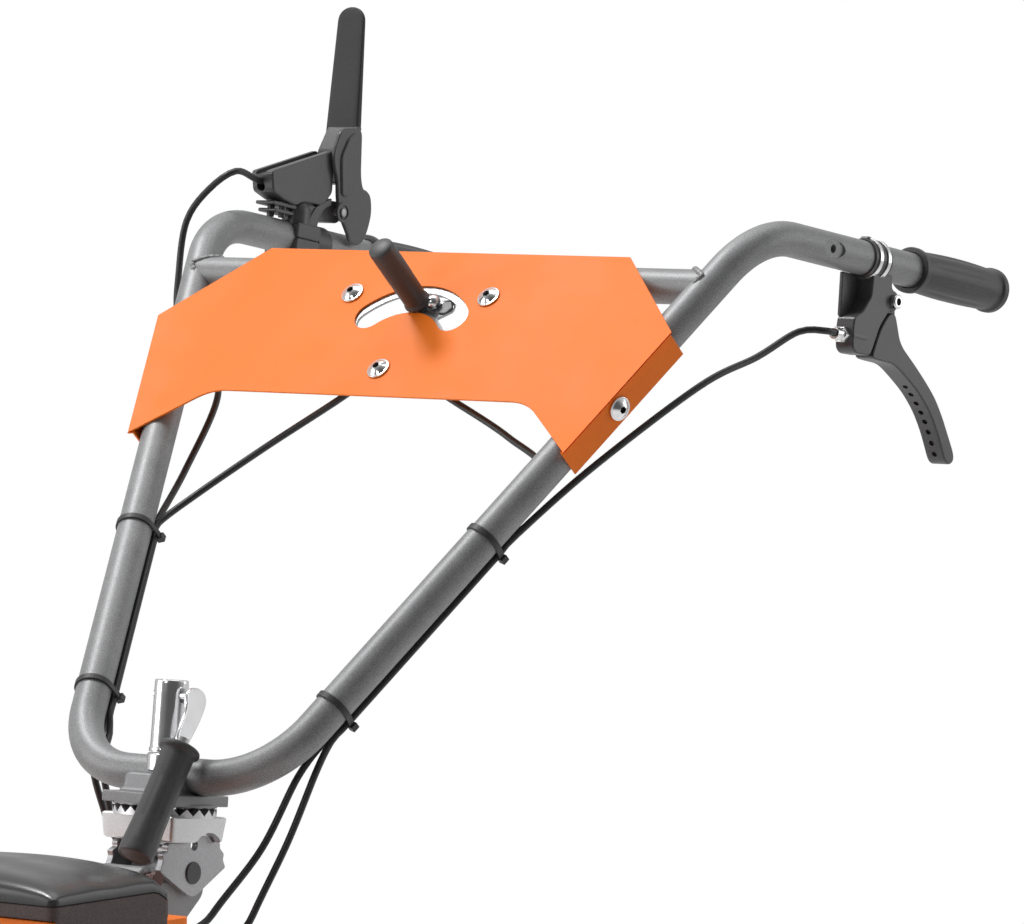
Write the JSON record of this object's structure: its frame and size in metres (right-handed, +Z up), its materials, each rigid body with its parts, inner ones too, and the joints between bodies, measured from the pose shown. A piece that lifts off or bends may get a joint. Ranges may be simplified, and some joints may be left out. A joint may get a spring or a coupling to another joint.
{
  "type": "cordless weed brush",
  "caption": "Walk-behind battery weed brush: wire brush head, two driven wheels, battery housing and a folding, swinging handlebar with control panel and levers.",
  "frame": {"origin": "middle of the machine's box in X and Y, on the ground", "axes": "+Z up; -Y forwards, towards the brush; +X to the operator's left"},
  "size_m": [0.608, 1.6936, 1.1772],
  "materials": {
    "painted_tube": "dark grey metallic powder coat",
    "orange_paint": "orange powder coat",
    "dark_cast": "dark matt coat on cast metal",
    "zinc_steel": "zinc-plated steel",
    "chrome": "bright plated",
    "aluminium": "blasted cast aluminium",
    "black_rubber": "matt rubber",
    "tyre": "tyre rubber",
    "black_plastic": "matt black plastic",
    "gloss_black": "glossy black plastic",
    "bristle_wire": "bare wire"
  },
  "bodies": {
    "machine": {"chassis": "painted_tube", "transaxle": "aluminium", "body_shell": "orange_paint", "left_battery": "black_plastic", "right_battery": "black_plastic", "column": "painted_tube", "height_pivot_bolt": "zinc_steel"},
    "hood": {"battery_hood": "gloss_black"},
    "left_wheel": {"left_rim": "orange_paint", "left_tyre": "tyre"},
    "right_wheel": {"right_rim": "orange_paint", "right_tyre": "tyre"},
    "brush_head": {"head_frame": "painted_tube", "brush_motor": "black_plastic", "gear_housing": "aluminium", "brush_guard": "orange_paint"},
    "rotary_brush": {"brush": "bristle_wire"},
    "lock_pin": {"height_lock_pin": "orange_paint"},
    "index_group": {"index_block": "aluminium", "side_plates": "zinc_steel"},
    "handlebar": {"handlebar_tube": "painted_tube", "cross_tube": "painted_tube", "control_panel": "orange_paint", "gate_plate": "zinc_steel", "panel_screw_1": "chrome", "panel_screw_2": "chrome", "panel_screw_3": "chrome", "panel_screw_4": "chrome", "panel_screw_5": "chrome", "shift_pivot_bolt": "zinc_steel", "left_grip": "black_rubber", "right_grip": "black_rubber", "brake_bracket": "dark_cast", "brake_pivot_screw": "chrome", "cable_adjuster": "chrome", "deadman_housing": "dark_cast", "deadman_clamp_cap": "dark_cast", "deadman_pin": "chrome", "swing_plate": "zinc_steel", "saddle_washer": "zinc_steel", "deadman_cable": "black_rubber", "forward_cable": "black_rubber", "reverse_cable": "black_rubber", "brake_cable": "black_rubber", "deadman_cable_lower": "black_rubber", "forward_cable_lower": "black_rubber", "reverse_cable_lower": "black_rubber", "brake_cable_lower": "black_rubber", "cable_tie_1": "black_plastic", "cable_tie_2": "black_plastic", "cable_tie_3": "black_plastic", "cable_tie_4": "black_plastic"},
    "nut": {"clamp_nut": "chrome"},
    "clamp_handle": {"clamp_lever": "chrome", "clamp_lever_grip": "black_rubber"},
    "shift_handle": {"shift_lever": "zinc_steel", "shift_grip": "black_rubber"},
    "brake_handle": {"brake_lever": "dark_cast"},
    "deadman_handle": {"deadman_lever": "dark_cast"}
  },
  "joints": [
    {"name": "handlebar_height", "type": "hinge", "parent": "machine", "child": "index_group", "pos_m": [0, 0.1575, 0.5393], "axis": [1, 0, 0], "range_deg": [-15, 15], "deforming": ["deadman_cable_lower", "forward_cable_lower", "reverse_cable_lower", "brake_cable_lower"]},
    {"name": "handlebar_swing", "type": "hinge", "parent": "index_group", "child": "handlebar", "pos_m": [0, 0.1597, 0.61], "axis": [0, 0.0958, 0.9954], "range_deg": [-40, 40], "deforming": ["deadman_cable_lower", "forward_cable_lower", "reverse_cable_lower", "brake_cable_lower"]},
    {"name": "clamp_nut_turn", "type": "hinge", "parent": "handlebar", "child": "nut", "pos_m": [0, 0.1597, 0.61], "axis": [0, 0.0958, 0.9954], "range_deg": [-50, 0]},
    {"name": "clamp_lever_fold", "type": "hinge", "parent": "nut", "child": "clamp_handle", "pos_m": [0, 0.16531, 0.66823], "axis": [1, 0, 0], "range_deg": [-110, 0]},
    {"name": "shift", "type": "hinge", "parent": "handlebar", "child": "shift_handle", "pos_m": [0, 0.42887, 0.90694], "axis": [0, -0.7285, 0.6851], "range_deg": [-35, 55]},
    {"name": "brake", "type": "hinge", "parent": "handlebar", "child": "brake_handle", "pos_m": [0.27212, 0.69515, 0.94866], "axis": [0.9999, -0.015, 0.0026], "range_deg": [0, 35], "stiffness_Nm_per_rad": 1, "springref_deg": -11.46},
    {"name": "deadman", "type": "hinge", "parent": "handlebar", "child": "deadman_handle", "pos_m": [-0.27021, 0.67836, 1.00945], "axis": [0.9999, 0.015, -0.0026], "range_deg": [-84, 0], "stiffness_Nm_per_rad": 0.6, "springref_deg": 14.32},
    {"name": "height_lock", "type": "slide", "parent": "machine", "child": "lock_pin", "axis": [0, 1, 0], "range_m": [0, 0.003]},
    {"name": "hood_hinge", "type": "hinge", "parent": "machine", "child": "hood", "pos_m": [0, -0.1033, 0.537], "axis": [1, 0, 0], "range_deg": [0, 75]},
    {"name": "left_wheel_spin", "type": "hinge", "parent": "machine", "child": "left_wheel", "pos_m": [0.185, -0.0878, 0.165], "axis": [1, 0, 0], "continuous": true},
    {"name": "right_wheel_spin", "type": "hinge", "parent": "machine", "child": "right_wheel", "pos_m": [-0.185, -0.0878, 0.165], "axis": [1, 0, 0], "continuous": true},
    {"name": "brush_tilt", "type": "hinge", "parent": "machine", "child": "brush_head", "pos_m": [0, -0.3378, 0.195], "axis": [0, 1, 0], "range_deg": [-12, 12]},
    {"name": "brush_spin", "type": "hinge", "parent": "brush_head", "child": "rotary_brush", "pos_m": [0, -0.5428, 0.118], "axis": [0, 0, 1], "continuous": true}
  ]
}
